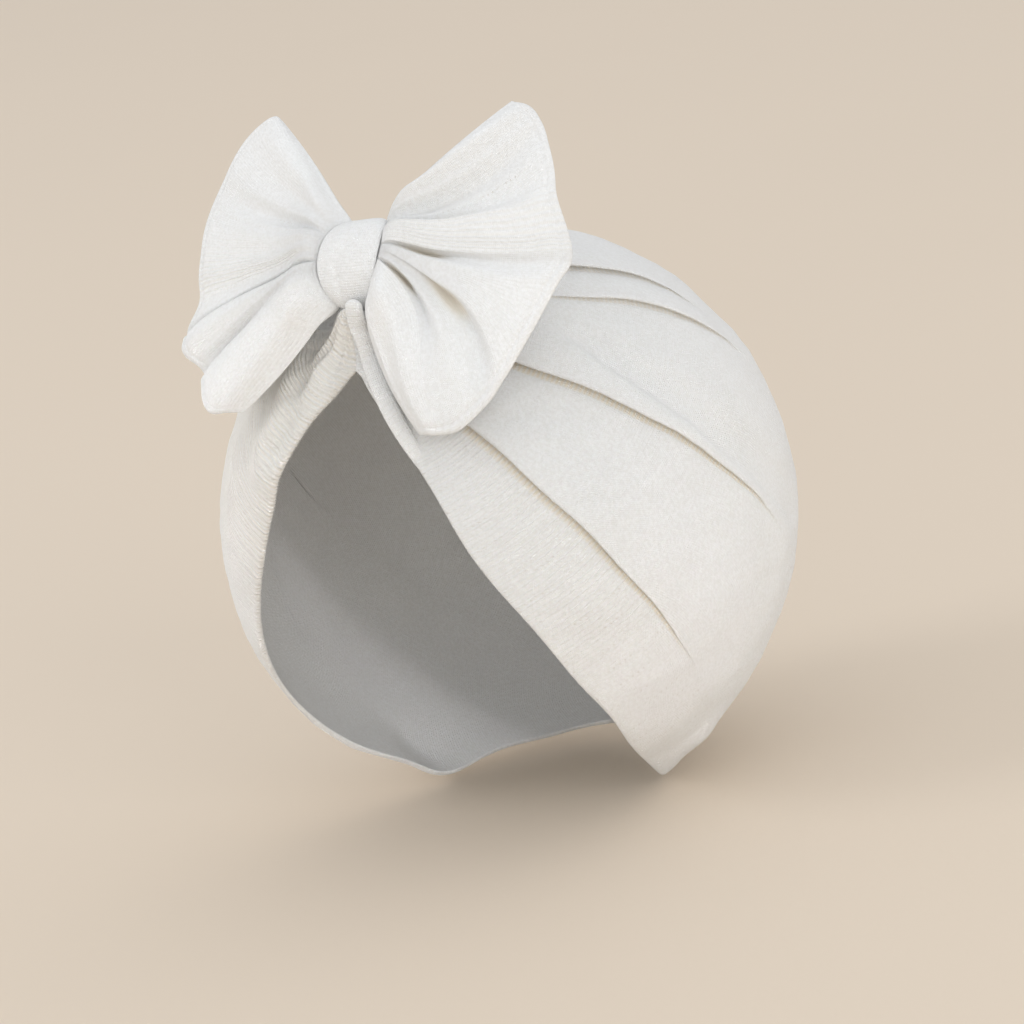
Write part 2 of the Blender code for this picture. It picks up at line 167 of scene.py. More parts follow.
# The band's end comes up in front of the gather and over the wrap's lower edge
BAND_END = (
    # step, across, up and out of the waist's centre, half width, half thickness
    (0, 0.0035, -0.0102, 0.0053, 0.0023, 0.0008),
    (1, 0.0030, -0.0124, 0.0038, 0.0025, 0.0011),
    (2, 0.0028, -0.0150, 0.0008, 0.0026, 0.0012),
    (3, 0.0036, -0.0178, -0.0013, 0.0023, 0.0011),
    (4, 0.0048, -0.0221, -0.0037, 0.0023, 0.0011),
    (5, 0.0074, -0.0273, -0.0046, 0.0024, 0.0011),
    (6, 0.0107, -0.0330, -0.0055, 0.0024, 0.0011),
    (7, 0.0141, -0.0384, -0.0071, 0.0023, 0.0010),
    (8, 0.0181, -0.0442, -0.0096, 0.0020, 0.0008),
    (9, 0.0221, -0.0502, -0.0131, 0.0012, 0.0005),
)
BAND_END_STEPS = 200
BAND_END_SIDES = 22
BAND_END_RIBS = 0.2
BAND_END_TIP = 0.0016  # metres that its ends are rounded over
BAND_END_WAVE = (0.015, 0.00105)  # its ribs' part of the thickness, and pitch
BAND_END_POWER = 0.8  # its cross-section is an ellipse at 1 and a rectangle at 0
WRAP_FACING = (0.0, -0.55, 0.83)  # out of the wrap where the strip crosses it

# Folds of the cloth, finer than the CAD's. A crest laps over the hollow beside it where the
# hollow's "across" lies beyond the crest's.
LEFT_FOLDS = (
    # across at the waist, a third, two thirds, the edge; height at the same four places
    (1.00, 1.00, 1.00, 1.00, 0.0000, 0.0000, 0.0000, 0.0000),
    (0.90, 0.87, 0.87, 0.91, 0.0014, 0.0038, 0.0038, 0.0014),
    (0.82, 0.76, 0.77, 0.84, 0.0004, 0.0014, 0.0012, 0.0008),
    (0.74, 0.66, 0.67, 0.76, -0.0018, -0.0028, -0.0020, 0.0002),
    (0.68, 0.58, 0.58, 0.66, 0.0002, -0.0016, -0.0010, 0.0004),
    (0.62, 0.50, 0.48, 0.54, -0.0006, -0.0032, -0.0020, 0.0004),
    (0.57, 0.42, 0.38, 0.40, 0.0020, 0.0020, 0.0018, 0.0010),
    (0.43, 0.24, 0.19, 0.22, 0.0022, 0.0022, 0.0018, 0.0008),
    (0.20, 0.08, 0.07, 0.12, 0.0014, 0.0022, 0.0014, 0.0008),
    (0.18, 0.06, 0.02, 0.06, 0.0006, 0.0000, 0.0002, 0.0006),
    (0.09, -0.04, -0.10, -0.06, 0.0016, 0.0022, 0.0025, 0.0014),
    (0.05, -0.13, -0.21, -0.30, 0.0018, 0.0020, 0.0022, 0.0014),
    (0.01, -0.20, -0.31, -0.50, 0.0018, 0.0020, 0.0024, 0.0012),
    (0.00, -0.20, -0.37, -0.60, 0.0017, 0.0012, -0.0010, 0.0009),
    (-0.04, -0.27, -0.45, -0.66, 0.0017, 0.0010, 0.0008, 0.0012),
    (-0.08, -0.35, -0.55, -0.74, 0.0020, 0.0022, 0.0026, 0.0014),
    (-0.13, -0.41, -0.66, -0.81, 0.0006, 0.0004, 0.0020, 0.0013),
    (-0.15, -0.46, -0.74, -0.86, 0.0014, 0.0022, 0.0026, 0.0014),
    (-0.45, -0.66, -0.86, -0.93, 0.0036, 0.0054, 0.0040, 0.0016),
    (-0.85, -0.92, -0.96, -0.98, 0.0018, 0.0024, 0.0016, 0.0006),
    (-1.00, -1.00, -1.00, -1.00, 0.0000, -0.0006, -0.0008, -0.0010),
)
RIGHT_FOLDS = (
    # as on the left
    (1.00, 1.00, 1.00, 1.00, 0.0000, 0.0000, 0.0000, 0.0000),
    (0.88, 0.86, 0.84, 0.88, 0.0012, 0.0026, 0.0028, 0.0014),
    (0.76, 0.70, 0.68, 0.72, 0.0004, 0.0008, 0.0012, 0.0010),
    (0.66, 0.58, 0.56, 0.60, 0.0008, 0.0014, 0.0016, 0.0009),
    (0.56, 0.48, 0.46, 0.50, -0.0008, -0.0008, 0.0000, 0.0008),
    (0.48, 0.38, 0.36, 0.40, 0.0008, 0.0014, 0.0014, 0.0009),
    (0.42, 0.28, 0.26, 0.28, 0.0012, 0.0020, 0.0020, 0.0009),
    (0.31, 0.16, 0.12, 0.12, 0.0008, 0.0012, 0.0012, 0.0007),
    (0.20, 0.05, 0.00, 0.00, 0.0014, 0.0020, 0.0018, 0.0008),
    (0.08, -0.05, -0.11, -0.13, 0.0004, 0.0008, 0.0006, 0.0000),
    (-0.02, -0.125, -0.20, -0.24, 0.0008, 0.0012, 0.0012, 0.0004),
    (-0.13, -0.205, -0.275, -0.31, -0.0028, -0.0038, -0.0026, -0.0004),
    (-0.11, -0.18, -0.245, -0.315, -0.0006, 0.0012, 0.0022, 0.0008),
    (-0.19, -0.265, -0.345, -0.40, 0.0010, 0.0030, 0.0032, 0.0018),
    (-0.27, -0.345, -0.44, -0.52, 0.0020, 0.0032, 0.0018, 0.0006),
    (-0.32, -0.40, -0.50, -0.585, 0.0022, 0.0022, -0.0014, -0.0012),
    (-0.38, -0.465, -0.56, -0.64, 0.0026, 0.0032, 0.0016, 0.0006),
    (-0.49, -0.60, -0.68, -0.76, 0.0030, 0.0044, 0.0036, 0.0018),
    (-0.70, -0.80, -0.86, -0.90, 0.0026, 0.0040, 0.0032, 0.0014),
    (-1.00, -1.00, -1.00, -1.00, 0.0000, -0.0006, -0.0008, -0.0010),
)
FOLD_PLACES = (0.0, 1.0 / 3.0, 2.0 / 3.0, 1.0)
LEFT_DENTS = (
    # fold row, along the wing, rows and part of the length that it spreads over, depth
    (9.0, 0.25, 0.7, 0.11, 0.0018),
    (13.0, 0.46, 0.8, 0.13, 0.0028),
    (16.0, 0.20, 0.8, 0.09, 0.0020),
)
LEFT_RIBS = (7.0, 1.4)  # fold row that a band of raised ribs lies on, and how many rows it spreads
RIGHT_RIBS = (8.1, 1.1)
LEFT_LACE = 4.2  # fold row that a row of small holes lies on
RIGHT_LACE = 4.4

# The opening is narrower on the wearer's left: by how much of a turn, where, and over what spread
LEFT_RIM = (1.5, 86.0, 12.0)

# A pleat's edge in cross-section: over the lip, back under it, then out along the cloth below
LIP = (
    # past the edge, part of the pleat's height, how much painted shade it has in the pocket under the lip
    (-0.0026, 1.00, 0.0),
    (-0.0015, 1.04, 0.0),
    (-0.0007, 1.03, 0.0),
    (-0.0002, 0.95, 0.0),
    (0.0000, 0.80, 0.1),
    (-0.0002, 0.66, 0.4),
    (-0.0006, 0.57, 0.8),
    (-0.0012, 0.50, 1.0),
    (-0.0017, 0.38, 1.0),
    (-0.0019, 0.22, 1.0),
    (-0.0017, 0.08, 1.0),
    (-0.0010, 0.00, 1.0),
    (-0.0001, -0.03, 1.0),
    (0.0002, -0.05, 1.0),
    (0.0006, -0.02, 0.8),
    (0.0011, 0.00, 0.0),
)
GROOVES = (0.6, 0.6, 1.1, 2.2)  # how wide the open row of stitches below each pleat is
POCKET_SHADE_SHOWS = (0.45, 0.5, 0.9, 1.0)  # how much of each pleat's pocket has its painted shade
POCKET_SHADE_GAIN = 2.5  # the painted shade is whole where the pleat has 1 / 2.5 of its height
LIP_TURN = 10  # its column at the bottom of the pocket, where the knit's direction changes
LIP_SPREAD = 0.0008  # metres that its columns keep where the pleat has faded out
LIP_WANDER = 0.0002  # its edge isn't quite straight
PANEL_COLUMNS = (22, 8, 24, 30, 30)
RIM_COLUMNS = (0.0016, 0.0009, 0.00045, 0.00018, 0.0)  # from the rim
RIM_ROUND = 0.0010
RIM_THINNING = 0.62  # part of the wall that the rounding takes away at the rim itself
THINNEST = 0.0005
CROWN_STEPS = 188
POLE = 0.5  # the rows start and end this far from the axis
GATHER_STEPS = 8
NAPE_STEPS = 8

# Hollow in the wearer's right band
VALLEY = (
    # turn, away
    (-82.0, 9.0),
    (-100.0, 11.5),
    (-113.0, 13.0),
    (-128.0, 16.2),
    (-136.0, 20.0),
    (-139.0, 24.0),
    (-140.0, 29.0),
)
VALLEY_LIFT = 0.0022
VALLEY_WIDTH = 0.0062
VALLEY_REACH = 75.0  # no lift further away than this
VALLEY_FADE = (0.80, 0.16)  # cosine of the angle from the hollow's lower end

# Small uneven gathers that run into the peak
GATHERS = (
    # how many go round, their waver and its turns and start, reach, height
    (27.0, 1.3, 4.0, 0.0, 15.0, 0.00045),
    (13.0, 1.1, 3.0, 1.0, 24.0, 0.00055),
)
GATHERS_START = 6.0  # degrees from the peak where they are full

# Soft groove in the panel over the second pleat
CREASE = (
    # away, turn
    (30.0, 73.0),
    (36.0, 77.3),
    (49.4, 84.5),
    (65.4, 86.6),
    (77.4, 87.0),
    (99.1, 83.4),
    (110.0, 81.0),
)
CREASE_DEPTH = 0.0034
CREASE_WIDTH = (0.0022, 0.0070)  # below the line and above it
CREASE_ENDS = (30.0, 112.0)
CREASE_FADES = (18.0, 16.0)

# Lower back corner of the band, where its end is turned up
SEAM_AWAY = 130.0
SEAM_TURN = 131.0
SEAM_LIFT = 0.0030
SEAM_WIDTH = 5.5
LEFT_CORNER = (
    # away, turn, spread, lift: the wearer's left corner hangs a little flatter
    (131.0, 116.0, 8.5, 0.0009),
    (132.0, 134.5, 5.5, -0.0020),
)

WING_LANES = 200
WING_STEPS = 104
DENT_SHADE, HOLLOW_SHADE, WING_HOLES, WING_RIBS = 0.9, 0.35, 0.8, 0.7  # how strong the marks are; the first two are painted shade in dents and hollows
DENT_DEPTH = 0.0016
HOLLOW_DEPTH = (0.0016, 0.0030)
HOLES_SPREAD = 0.9  # fold rows
MARKS_FADE = 0.2  # part of a wing's length that its holes and ribs come in over
WING_KNIT = (95.0, 58.0)  # millimetres of knit across a wing and along it
EDGE_SEAM = (0.0022, 0.0006, 0.0008)  # the seam inside a wing's edge: how far in, width, depth
EDGE_RUN = 0.055  # about a wing's length
CROWN_WAVES = ((0.00022, 0.024), (0.00010, 0.008))  # height and length of the cloth's unevenness
WING_WAVES = ((0.00030, 0.022), (0.00008, 0.008))
WRAP_SECTIONS = 220
WRAP_COLUMNS = 64
WRAP_CREASE = (0.30, 0.10, 0.14, 0.00075)  # how far across it lies, waver, width, depth
WRAP_EDGE = (2.6, 0.80)  # how full the strip stays up to its edges, and the part of the wall they lose
WRAP_RELIEF = 0.00016

# Where the bands' knit and the painted shadow under the bow change: the start, in degrees of turn or away,
# and how far the change takes
HOLES_FADE = (20.0, 45.0)
RIBS_START = (80.0, 28.0)
RIBS_FADE = (45.0, 50.0)
LEFT_RIBS_FADE = (62.0, 40.0)
SHADE_START = (82.0, 20.0)
SHADE_FADE = (42.0, 26.0)
SHADE = 0.36  # strength of the painted shadow under the bow on the wearer's right band, in the pockets' shade tone
LEFT_HOLES = 0.6  # strength of the holes in the left band
HOLES_FROM = 12.0  # where they are full
BAND_RIBS = (0.75, 0.4)  # the right band's ribs: strength near the bow, and how much less below
LEFT_BAND_RIBS = (0.42, 0.22)

# Colours
KNIT_TONES = ((0.855, 0.865, 0.868, 1.0), (0.885, 0.897, 0.902, 1.0))
BETWEEN_SHADE_TONE = (0.66, 0.65, 0.61, 1.0)  # painted shade between the columns of stitches and in the yarn's low spots
# painted shade in the small holes
HOLE_SHADE_TONE = (0.50, 0.43, 0.34, 1.0)
POCKET_SHADE_TONE = (0.80, 0.73, 0.60, 1.0)  # painted shade in the folds' pockets, the wings' hollows, rib troughs and under the bow, as warm as light that has met cream cloth several times
FLOOR_TONES = ((0.705, 0.605, 0.490, 1.0), (0.715, 0.613, 0.496, 1.0))

# Values kept at each vertex: how much painted shade it has, in a fold's pocket or under the bow, how laced
# it is, how raised its ribs are, and how far down the crown it is in millimetres
MARKS = ("pocket_shade", "lace", "ridge", "down")
LACE_ROW = 5.7  # millimetres from one row of small holes to the next
LACE_STEP = 1.7  # and from hole to hole
RIB_PITCH = 1.0
BAR_PITCH = 1.2  # of the threads that cross a fold's groove, which break its painted shade
HOLE_EDGE = (0.10, 0.40)  # a hole's middle and its edge, in millimetres from its centre
HOLE_PATCHES = (0.44, 0.60)  # noise below which no holes show, and above which all do

# How strongly each feature of the knit shows, in relief and in painted shade in its low parts
STITCH_RELIEF, FUZZ_RELIEF, RIB_RELIEF, HOLE_RELIEF = 0.9, 1.4, 0.7, 0.8
STITCH_SHADE, FUZZ_SHADE, RIB_SHADE, HOLE_SHADE = 0.16, 0.22, 0.14, 0.44
RELIEF = 0.00032  # metres for a relief of 1
KNIT_SURFACE = {"Roughness": 0.92, "Specular IOR Level": 0.25, "Sheen Weight": 0.2, "Sheen Roughness": 0.5}

# Stage, camera and light
FLOOR_HALF = 6.0
FLOOR_GAP = 0.0015  # the floor is this far under the hem
FRAME = 1024.0  # pixels across the picture
FOCAL = 3790.0  # focal length in pixels
SHIFT = (3.0, 1.0)  # pixels
SENSOR = 36.0
HAT_YAW = -30.6  # degrees that the hat is turned before a camera that isn't tilted sideways
HAT_ROLL = 12.0  # and tipped to its side
CAMERA_RISE = 19.0  # and the camera looks down
CAMERA_DISTANCE = 1.0  # from the head's centre
WORLD_COLOUR = (0.98, 0.985, 1.0, 1.0)
WORLD_STRENGTH = 0.87
LIGHTS = (
    # name, place, what it faces, size, power, colour, spread; the last two are narrow beams
    ("key", (-2.9, -2.1, 2.3), (0.0, 0.0, -0.05), 2.0, 30.0, (0.985, 0.985, 1.0), 180.0),
    ("fill", (2.6, -1.6, 0.9), (0.0, 0.0, -0.07), 1.8, 22.0, (0.98, 0.985, 1.0), 180.0),
    ("low", (1.1, -2.3, 0.32), (0.0, 0.0, -0.09), 1.4, 6.0, (1.0, 0.99, 0.98), 180.0),
    ("corner", (1.243, -0.745, -0.058), (0.053, -0.017, -0.127), 0.16, 0.0115, (1.0, 0.995, 0.985), 8.5),
    ("under", (-0.72, -1.22, -0.105), (-0.046, -0.057, -0.054), 0.07, 0.005, (0.96, 0.985, 1.0), 5.5),
)


def smooth(t):
    t = np.clip(t, 0.0, 1.0)
    return t * t * (3.0 - 2.0 * t)


def ramp(x, change):
    """0 before the change and 1 after it."""
    start, length = change
    return smooth((x - start) / length)


def bell(x, width):
    return np.exp(-(x / width) ** 2)


def cubic(low, high, low_slope, high_slope, span, t):
    return (low * (1 + 2 * t) * (1 - t) ** 2 + low_slope * span * t * (1 - t) ** 2
            + high * t * t * (3 - 2 * t) + high_slope * span * t * t * (t - 1))


def read_curve(rows, x, column=1):
    """A smooth curve through a table's rows, as in the CAD, for a whole array of x."""
    table = np.array(rows, float)
    if table[0, 0] > table[-1, 0]:
        table = table[::-1]
    keys, values = table[:, 0], table[:, column]
    last = len(keys) - 1
    low = np.maximum(np.arange(last + 1) - 1, 0)
    high = np.minimum(np.arange(last + 1) + 1, last)
    slopes = (values[high] - values[low]) / (keys[high] - keys[low])
    i = np.clip(np.searchsorted(keys, x) - 1, 0, last - 1)
    span = keys[i + 1] - keys[i]
    t = np.clip((x - keys[i]) / span, 0.0, 1.0)
    return cubic(values[i], values[i + 1], slopes[i], slopes[i + 1], span, t)


def waves(points, length, seed, count=14):
    """Smooth random relief, mostly between -1 and 1, the same on every run."""
    random = np.random.default_rng(seed)
    axes = random.normal(size=(count, 3))
    axes /= np.linalg.norm(axes, axis=1)[:, None]
    scale = 2.0 * math.pi / length * random.uniform(0.7, 1.4, count)
    phase = random.uniform(0.0, 2.0 * math.pi, count)
    total = np.zeros(points.shape[:-1])
    for axis, k, start in zip(axes, scale, phase):
        total += np.sin(points @ axis * k + start)
    return total / math.sqrt(count)


def unevenness(points, rows, seed):
    (broad, broad_length), (fine, fine_length) = rows
    return broad * waves(points, broad_length, seed) + fine * waves(points, fine_length, seed + 1)


def unit(v):
    return v / np.linalg.norm(v, axis=-1, keepdims=True)


# Crown

def direction(turn, away):
    lift = math.radians(GATHER_ELEVATION)
    gather = np.array((0.0, -math.cos(lift), math.sin(lift)))
    back = np.array((0.0, math.sin(lift), math.cos(lift)))
    side = np.array((1.0, 0.0, 0.0))
    turn, away = np.radians(turn)[..., None], np.radians(away)[..., None]
    return gather * np.cos(away) + (back * np.cos(turn) + side * np.sin(turn)) * np.sin(away)


def bow_axes():
    lean = math.radians(BOW_LEAN)
    out = np.array((0.0, -math.cos(lean), math.sin(lean)))
    up = np.array((0.0, math.sin(lean), math.cos(lean)))
    return np.array((1.0, 0.0, 0.0)), up, out


def waist_centre():
    return np.array(KNOT_FRONT) - bow_axes()[2] * KNOT_HALF_DEPTH


def reach_to_knot(way):
    """How far a ray from the head's centre goes before it meets the wrap's outside."""
    side, up, out = bow_axes()
    centre = waist_centre() + up * KNOT_RAISE
    half_height, half_depth = KNOT_HALF_HEIGHT + SEAT_GAP, KNOT_HALF_DEPTH + SEAT_GAP
    ray = np.stack([way @ up / half_height, way @ out / half_depth], axis=-1)
    start = np.array((-centre @ up / half_height, -centre @ out / half_depth))
    a = (ray * ray).sum(-1)
    b = ray @ start
    inside = b * b - a * (start @ start - 1.0)
    reach = (-b - np.sqrt(np.maximum(inside, 0.0))) / a
    beyond = np.abs(way @ side) * reach - KNOT_SIDE_HALF_WIDTH - 2 * SEAT_GAP
    reach = reach + PEAK_HEIGHT * smooth(beyond / KNOT_SIDE_HALF_WIDTH)
    return np.where((inside > 0.0) & (b < 0.0), reach, np.inf)


def opening_half_turn(away, left):
    inside = (away > OPENING[0][0]) & (away < OPENING[-1][0])
    narrower, place, spread = LEFT_RIM
    half = read_curve(OPENING, away) - np.where(left, narrower * bell(away - place, spread), 0.0)
    return np.where(inside, half, 0.0)


def pleat_turn(pleat, away):
    near_turn, far_turn, near, far = pleat[:4]
    t = np.clip((away - near) / (far - near), 0.0, 1.0)
    return near_turn + (far_turn - near_turn) * t - pleat[7] * 4.0 * t * (1.0 - t)


def pleat_strength(pleat, away):
    near, far = pleat[2:4]
    start = pleat[6] * FOLD_START
    fade = 1.0 - smooth((away - near) / (far - near)) ** 2
    return smooth((away - start) / (pleat[6] - start)) * fade


def degrees_of(length, away):
    return np.degrees(length / (INSIDE_RADIUS * np.sin(np.radians(away))))


def tail_height(turn, away, pleats):
    """How far some pleats lift the cloth behind them."""
    total = np.zeros_like(turn)
    for pleat in pleats:
        behind = (pleat_turn(pleat, away) - turn) / degrees_of(1.0, away) + LIP[0][0]
        fade = 1.0 - smooth(np.maximum(behind, 0.0) / pleat[5])
        total += pleat[4] * pleat_strength(pleat, away) * fade
    return total


def lip_columns(k, pleat, away):
    """Turn, part of the pleat's height and painted shade of each column that its edge is made of."""
    one = degrees_of(1.0, away)
    strength = pleat_strength(pleat, away)
    edge = pleat_turn(pleat, away) + LIP_WANDER * one * np.sin(np.radians(away) * 17.0 + 2.0 * k)
    columns = []
    for j, (past, part, pocket_shade) in enumerate(LIP):
        spread = np.minimum(LIP_SPREAD * one, 2.0) * (j / (len(LIP) - 1) - 0.5)
        past *= GROOVES[k] if past > 0.0 else 1.0
        columns.append((edge + strength * past * one + (1.0 - strength) * spread, part, pocket_shade))
    return columns


def crown_half(away, pleats, left):
    """Turn, pleat height, painted shade and panel of each column of one half, from the back to the rim.

    away is a column of angles; the first three results have one row for each of them.
    """
    turns, heights, pockets, panels = [], [], [], []
    start = np.zeros_like(away)
    rim = 180.0 - opening_half_turn(away, left)
    rim_one = np.minimum(degrees_of(1.0, away), 6.0 / RIM_COLUMNS[0])

    def add(turn, height, pocket_shade, panel):
        turns.append(turn)
        heights.append(height)
        pockets.append(pocket_shade + np.zeros_like(away))
        panels.append(panel)

    for k, columns in enumerate(PANEL_COLUMNS):
        lip = lip_columns(k, pleats[k], away) if k < len(pleats) else []
        if lip:
            strength = pleat_strength(pleats[k], away)
            end = lip[0][0]
        else:
            end = rim - RIM_COLUMNS[0] * rim_one
            columns += 1
        for j in range(0 if k == 0 else 1, columns):
            turn = start + (end - start) * j / PANEL_COLUMNS[k]
            add(turn, tail_height(turn, away, pleats[k:]), 0.0, k)
        for j, (turn, part, pocket_shade) in enumerate(lip):
            height = tail_height(turn, away, pleats[k + 1:]) + pleats[k][4] * strength * part
            # painted shade in the pleat's pocket under its lip
            shown = pocket_shade * POCKET_SHADE_SHOWS[k] * smooth(strength * POCKET_SHADE_GAIN)
            add(turn, height, shown, k if j < LIP_TURN else k + 1)
        if lip:
            start = lip[-1][0]
    for inset in RIM_COLUMNS[1:]:
        turn = rim - inset * rim_one
        add(turn, np.zeros_like(away), 0.0, len(pleats))
    turns, heights, pockets = (np.concatenate(rows, 1) for rows in (turns, heights, pockets))
    return turns, heights, pockets, np.array(panels)


def degrees_from(turn, away, at_turn, at_away):
    return np.hypot(away - at_away, np.sin(np.radians(away)) * (turn - at_turn))


def cloth_lift(turn, away):
    lift = PEAK_HEIGHT * bell(away, PEAK_WIDTH) + SHOULDER_HEIGHT * bell(away, SHOULDER_WIDTH)
    for at_away, at_turn, spread, height in LEFT_CORNER:
        lift += height * bell(degrees_from(turn, away, at_turn, at_away), spread)
    corner = degrees_from(np.abs(turn), away, HEM_CORNER_TURN, HEM_CORNER_AWAY)
    seam = degrees_from(np.abs(turn), away, SEAM_TURN, SEAM_AWAY)
    return (lift + HEM_LIFT * bell(corner, HEM_LIFT_WIDTH) + SEAM_LIFT * bell(seam, SEAM_WIDTH)
            + valley_lift(turn, away))


def valley_lift(turn, away):
    """The wearer's right band stands off the head on both sides of a hollow that runs into the gather."""
    way = direction(turn, away) * INSIDE_RADIUS
    line = np.array(VALLEY)
    fine = np.linspace(0.0, len(line) - 1.0, 60)
    turns = np.interp(fine, np.arange(len(line)), line[:, 0])
    aways = np.interp(fine, np.arange(len(line)), line[:, 1])
    path = direction(turns, aways) * INSIDE_RADIUS
    near = (turn < 0.0) & (away < VALLEY_REACH)
    chosen = way[near]
    distance = np.sqrt(((chosen[:, None, :] - path[None]) ** 2).sum(-1)).min(1)
    total = np.zeros(turn.shape)
    ratio = (distance / VALLEY_WIDTH) ** 2
    far = chosen @ path[-1] / INSIDE_RADIUS ** 2
    total[near] = VALLEY_LIFT * math.e * ratio * np.exp(-ratio) * ramp(far, VALLEY_FADE)
    return total


def gathers(turn, away):
    angle = np.radians(turn)
    total = 0.0
    for count, waver, turns, start, reach, height in GATHERS:
        wave = np.cos(angle * count + waver * np.sin(angle * turns + start))
        total += height * (wave * bell(away, reach))
    return total * smooth(away / GATHERS_START)


def crease(turn, away):
    line = read_curve(CREASE, np.clip(away, CREASE[0][0], CREASE[-1][0]))
    beside = (np.abs(turn) - line) / degrees_of(1.0, away)
    (near, far), (rise, fall) = CREASE_ENDS, CREASE_FADES
    along = smooth((away - near) / rise) * smooth((far - away) / fall)
    below, above = CREASE_WIDTH
    return -CREASE_DEPTH * along * np.where(beside > 0, bell(beside, below), bell(beside, above))


def crown_rows():
    top, bottom = OPENING[0][0], OPENING[-1][0]
    t = np.arange(CROWN_STEPS + 1) / CROWN_STEPS
    t = 0.72 * t + 0.28 * 0.5 * (1.0 - np.cos(math.pi * t))
    gather = POLE + (top - POLE) * np.arange(GATHER_STEPS) / GATHER_STEPS
    nape = bottom + (180.0 - POLE - bottom) * (np.arange(NAPE_STEPS) + 1) / NAPE_STEPS
    return np.concatenate([gather, top + (bottom - top) * t, nape])


def crown_marks(turn, away, panel, pocket_shade):
    """UVs in millimetres, with rows and columns exchanged in the bands, and the values in MARKS."""
    arc = np.radians(turn) * INSIDE_RADIUS * np.sin(np.radians(away)) * 1000.0
    down = np.radians(away) * INSIDE_RADIUS * 1000.0
    band = panel == len(LEFT_PLEATS)
    uv = np.stack([np.where(band, down, arc), np.where(band, arc, down)], -1)
    lace = np.where(band & (turn > 0.0), LEFT_HOLES, 0.0) * smooth(away / HOLES_FROM)
    lace += np.where(band & (turn < 0.0), 1.0, 0.0) * (1.0 - ramp(away, HOLES_FADE))
    right_ribs = ramp(-turn, RIBS_START) * (BAND_RIBS[0] - BAND_RIBS[1] * ramp(away, RIBS_FADE))
    left_ribs = LEFT_BAND_RIBS[0] - LEFT_BAND_RIBS[1] * ramp(away, LEFT_RIBS_FADE)
    # painted shadow of the bow on the wearer's right band
    bow_shadow = np.where(band, ramp(-turn, SHADE_START) * (1.0 - ramp(away, SHADE_FADE)), 0.0)
    pocket_shade = np.maximum(pocket_shade, SHADE * bow_shadow)
    ridge = np.where(band, np.where(turn < 0.0, right_ribs, left_ribs), 0.0)
    return uv, {"pocket_shade": pocket_shade, "lace": lace, "ridge": ridge, "down": down}


def crown_skins():
    """Points of the outside and the inside, the UVs and marks, and the rows' angles."""
    away = crown_rows()[:, None]
    left = crown_half(away, LEFT_PLEATS, True)
    right = crown_half(away, RIGHT_PLEATS, False)
    turn = np.concatenate([-right[0][:, :0:-1], left[0]], 1)
    height, pocket_shade, panel = (np.concatenate([b[..., :0:-1], a], -1) for a, b in zip(left[1:], right[1:]))
    away = np.broadcast_to(away, turn.shape)
    way = direction(turn, away)
    place = way * INSIDE_RADIUS

    half_turn = opening_half_turn(away, turn > 0.0)
    from_rim = (180.0 - half_turn - np.abs(turn)) / degrees_of(1.0, away)
    edge = np.clip(1.0 - from_rim / RIM_ROUND, 0.0, 1.0)
    near_rim = np.where(half_turn > 0.0, 1.0, 0.0) * (1.0 - np.sqrt(1.0 - edge ** 2))
    relief = gathers(turn, away) + crease(turn, away)
    relief += unevenness(place, CROWN_WAVES, 3)
    lift = cloth_lift(turn, away)
    wall = WALL * (1.0 - RIM_THINNING * near_rim)
    outside = INSIDE_RADIUS + lift + wall + relief * (1.0 - near_rim) + height
    inside = INSIDE_RADIUS + lift
    seat = reach_to_knot(way)
    outside = np.maximum(np.minimum(outside, seat), INSIDE_RADIUS * 0.98)
    inside = np.minimum(inside, seat - WALL)
    outside = np.maximum(outside, inside + THINNEST)

    uv, marks = crown_marks(turn, away, panel, pocket_shade)
    outside, inside = (way * skin[..., None] + HEAD_CENTRE for skin in (outside, inside))
    return outside, inside, uv, marks, away[:, 0]


def grid_numbers(skin, first=0):
    rows, columns = skin.shape[:2]
    return first + np.arange(rows * columns).reshape(rows, columns)


def flipped(faces):
    return [face[::-1] for face in faces]


def grid_faces(index):
    """Quads of a grid of vertex numbers, without those that have collapsed to nothing."""
    a, b = index[:-1, :-1].ravel(), index[:-1, 1:].ravel()
    c, d = index[1:, 1:].ravel(), index[1:, :-1].ravel()
    faces = []
    for quad in zip(a.tolist(), b.tolist(), c.tolist(), d.tolist()):
        corners = [v for i, v in enumerate(quad) if v != quad[i - 1]]
        if len(set(corners)) > 2:
            faces.append(corners)
    return faces


def close_rows(index, closed):
    """The first and last column are one vertex in the rows that are closed."""
    index = index.copy()
    index[closed, -1] = index[closed, 0]
    return index


def pole_faces(index, pole):
    ring = index.tolist()
    return [[pole, a, b] for a, b in zip(ring, ring[1:]) if a != b]


def rim_faces(outer, inner, closed):
    """Triangles that join the outside to the lining along both rims, two rows to one."""
    faces = []
    for column, flip in ((0, False), (-1, True)):
        for i in range(0, len(outer) - 2, 2):
            if closed[i] and closed[i + 2]:
                continue
            v = outer[i:i + 3, column].tolist()
            w = inner[i // 2:i // 2 + 2, column].tolist()
            for face in ([v[0], v[1], w[0]], [v[1], v[2], w[1]], [v[1], w[1], w[0]]):
                if len(set(face)) == 3:
                    faces.append(face[::-1] if flip else face)
    return faces


